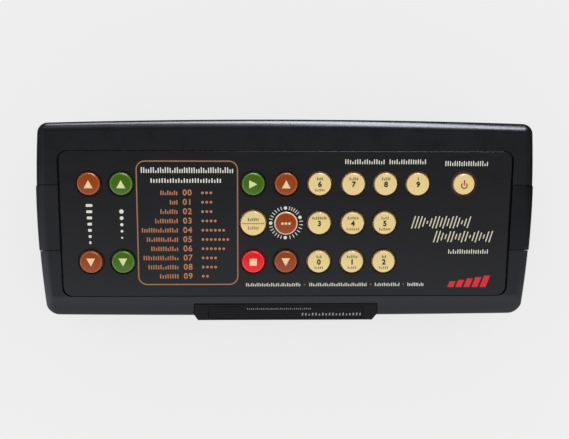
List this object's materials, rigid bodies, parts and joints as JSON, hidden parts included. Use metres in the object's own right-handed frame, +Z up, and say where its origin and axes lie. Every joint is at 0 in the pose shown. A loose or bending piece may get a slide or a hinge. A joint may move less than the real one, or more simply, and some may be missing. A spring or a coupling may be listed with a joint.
{
  "type": "electronic tabla",
  "caption": "Sloped table-top electronic drum console with round push keys on a printed control panel, a display bezel on the front edge and a speaker grille at each end.",
  "frame": {"origin": "on the table, under the middle of the whole object's box", "axes": "+X to the player's right along the case, +Y away from the player towards the high rear edge, +Z up from the table"},
  "size_m": [0.2768, 0.1136, 0.0759],
  "materials": {
    "case_plastic": "fine moulded satin",
    "panel_film": "satin printed film",
    "bezel_gloss": "gloss",
    "window_smoked": "gloss, smoked",
    "digit_module": "matt with diffused segments",
    "key_brown": "satin gloss",
    "key_green": "satin gloss",
    "key_cream": "satin gloss",
    "key_red": "satin gloss",
    "circuit_board": "solder resist",
    "ribbon": "ribbed flat cable",
    "speaker_steel": "black painted steel",
    "magnet_ferrite": "matt ferrite",
    "cone_paper": "pressed black paper",
    "core_steel": "stacked laminations",
    "coil_tape": "insulating tape",
    "socket_plastic": "moulded",
    "nut_chrome": "plated",
    "foot_rubber": "matt rubber",
    "screw_steel": "plated",
    "print_copper": "screen print",
    "print_cream": "screen print",
    "print_white": "screen print",
    "print_red": "screen print",
    "print_green": "screen print",
    "print_brown": "screen print",
    "print_black": "screen print",
    "print_grey": "screen print",
    "socket_brass": "plated contact"
  },
  "bodies": {
    "case": {"upper_shell": "case_plastic", "lower_shell": "case_plastic", "control_panel": "panel_film", "key_board": "circuit_board", "display_bezel": "bezel_gloss", "display_window": "window_smoked", "led_display": "digit_module", "display_board": "circuit_board", "end_grille_left": "case_plastic", "end_grille_right": "case_plastic", "speaker_frame_left": "speaker_steel", "speaker_frame_right": "speaker_steel", "speaker_magnet_left": "magnet_ferrite", "speaker_magnet_right": "magnet_ferrite", "main_board": "circuit_board", "ribbon_cable": "ribbon", "transformer_core": "core_steel", "transformer_coil": "coil_tape", "mains_inlet": "socket_plastic", "line_out_jack": "socket_plastic", "line_out_nut": "nut_chrome", "headphone_jack": "socket_plastic", "headphone_nut": "nut_chrome", "foot_rear_left": "foot_rubber", "foot_rear_right": "foot_rubber", "foot_front_left": "foot_rubber", "foot_front_right": "foot_rubber", "case_screw_rear_left": "screw_steel", "case_screw_rear_right": "screw_steel", "case_screw_front_left": "screw_steel", "case_screw_front_right": "screw_steel"},
    "volume_up": {"key_volume_up": "key_brown"},
    "volume_down": {"key_volume_down": "key_brown"},
    "bass_up": {"key_bass_up": "key_green"},
    "bass_down": {"key_bass_down": "key_green"},
    "start": {"key_start": "key_green"},
    "program": {"key_program": "key_cream"},
    "stop": {"key_stop": "key_red"},
    "value_up": {"key_value_up": "key_brown"},
    "select": {"key_select": "key_brown"},
    "value_down": {"key_value_down": "key_brown"},
    "digit_0": {"key_0": "key_cream"},
    "digit_1": {"key_1": "key_cream"},
    "digit_2": {"key_2": "key_cream"},
    "digit_3": {"key_3": "key_cream"},
    "digit_4": {"key_4": "key_cream"},
    "digit_5": {"key_5": "key_cream"},
    "digit_6": {"key_6": "key_cream"},
    "digit_7": {"key_7": "key_cream"},
    "digit_8": {"key_8": "key_cream"},
    "digit_9": {"key_9": "key_cream"},
    "power": {"key_power": "key_cream"},
    "cone_left": {"speaker_cone_left": "cone_paper"},
    "cone_right": {"speaker_cone_right": "cone_paper"}
  },
  "joints": [
    {"name": "press_volume_up", "type": "slide", "parent": "case", "child": "volume_up", "axis": [0, 0.2588, -0.9659], "range_m": [0, 0.0005], "stiffness_N_per_m": 1500, "springref_m": -0.0005},
    {"name": "press_volume_down", "type": "slide", "parent": "case", "child": "volume_down", "axis": [0, 0.2588, -0.9659], "range_m": [0, 0.0005], "stiffness_N_per_m": 1500, "springref_m": -0.0005},
    {"name": "press_bass_up", "type": "slide", "parent": "case", "child": "bass_up", "axis": [0, 0.2588, -0.9659], "range_m": [0, 0.0005], "stiffness_N_per_m": 1500, "springref_m": -0.0005},
    {"name": "press_bass_down", "type": "slide", "parent": "case", "child": "bass_down", "axis": [0, 0.2588, -0.9659], "range_m": [0, 0.0005], "stiffness_N_per_m": 1500, "springref_m": -0.0005},
    {"name": "press_start", "type": "slide", "parent": "case", "child": "start", "axis": [0, 0.2588, -0.9659], "range_m": [0, 0.0005], "stiffness_N_per_m": 1500, "springref_m": -0.0005},
    {"name": "press_program", "type": "slide", "parent": "case", "child": "program", "axis": [0, 0.2588, -0.9659], "range_m": [0, 0.0005], "stiffness_N_per_m": 1500, "springref_m": -0.0005},
    {"name": "press_stop", "type": "slide", "parent": "case", "child": "stop", "axis": [0, 0.2588, -0.9659], "range_m": [0, 0.0005], "stiffness_N_per_m": 1500, "springref_m": -0.0005},
    {"name": "press_value_up", "type": "slide", "parent": "case", "child": "value_up", "axis": [0, 0.2588, -0.9659], "range_m": [0, 0.0005], "stiffness_N_per_m": 1500, "springref_m": -0.0005},
    {"name": "press_select", "type": "slide", "parent": "case", "child": "select", "axis": [0, 0.2588, -0.9659], "range_m": [0, 0.0005], "stiffness_N_per_m": 1500, "springref_m": -0.0005},
    {"name": "press_value_down", "type": "slide", "parent": "case", "child": "value_down", "axis": [0, 0.2588, -0.9659], "range_m": [0, 0.0005], "stiffness_N_per_m": 1500, "springref_m": -0.0005},
    {"name": "press_digit_0", "type": "slide", "parent": "case", "child": "digit_0", "axis": [0, 0.2588, -0.9659], "range_m": [0, 0.0005], "stiffness_N_per_m": 1500, "springref_m": -0.0005},
    {"name": "press_digit_1", "type": "slide", "parent": "case", "child": "digit_1", "axis": [0, 0.2588, -0.9659], "range_m": [0, 0.0005], "stiffness_N_per_m": 1500, "springref_m": -0.0005},
    {"name": "press_digit_2", "type": "slide", "parent": "case", "child": "digit_2", "axis": [0, 0.2588, -0.9659], "range_m": [0, 0.0005], "stiffness_N_per_m": 1500, "springref_m": -0.0005},
    {"name": "press_digit_3", "type": "slide", "parent": "case", "child": "digit_3", "axis": [0, 0.2588, -0.9659], "range_m": [0, 0.0005], "stiffness_N_per_m": 1500, "springref_m": -0.0005},
    {"name": "press_digit_4", "type": "slide", "parent": "case", "child": "digit_4", "axis": [0, 0.2588, -0.9659], "range_m": [0, 0.0005], "stiffness_N_per_m": 1500, "springref_m": -0.0005},
    {"name": "press_digit_5", "type": "slide", "parent": "case", "child": "digit_5", "axis": [0, 0.2588, -0.9659], "range_m": [0, 0.0005], "stiffness_N_per_m": 1500, "springref_m": -0.0005},
    {"name": "press_digit_6", "type": "slide", "parent": "case", "child": "digit_6", "axis": [0, 0.2588, -0.9659], "range_m": [0, 0.0005], "stiffness_N_per_m": 1500, "springref_m": -0.0005},
    {"name": "press_digit_7", "type": "slide", "parent": "case", "child": "digit_7", "axis": [0, 0.2588, -0.9659], "range_m": [0, 0.0005], "stiffness_N_per_m": 1500, "springref_m": -0.0005},
    {"name": "press_digit_8", "type": "slide", "parent": "case", "child": "digit_8", "axis": [0, 0.2588, -0.9659], "range_m": [0, 0.0005], "stiffness_N_per_m": 1500, "springref_m": -0.0005},
    {"name": "press_digit_9", "type": "slide", "parent": "case", "child": "digit_9", "axis": [0, 0.2588, -0.9659], "range_m": [0, 0.0005], "stiffness_N_per_m": 1500, "springref_m": -0.0005},
    {"name": "press_power", "type": "slide", "parent": "case", "child": "power", "axis": [0, 0.2588, -0.9659], "range_m": [0, 0.0005], "stiffness_N_per_m": 1500, "springref_m": -0.0005},
    {"name": "cone_left_travel", "type": "slide", "parent": "case", "child": "cone_left", "axis": [-1, 0, 0], "range_m": [-0.0005, 0.0005], "stiffness_N_per_m": 1500},
    {"name": "cone_right_travel", "type": "slide", "parent": "case", "child": "cone_right", "axis": [1, 0, 0], "range_m": [-0.0005, 0.0005], "stiffness_N_per_m": 1500}
  ]
}
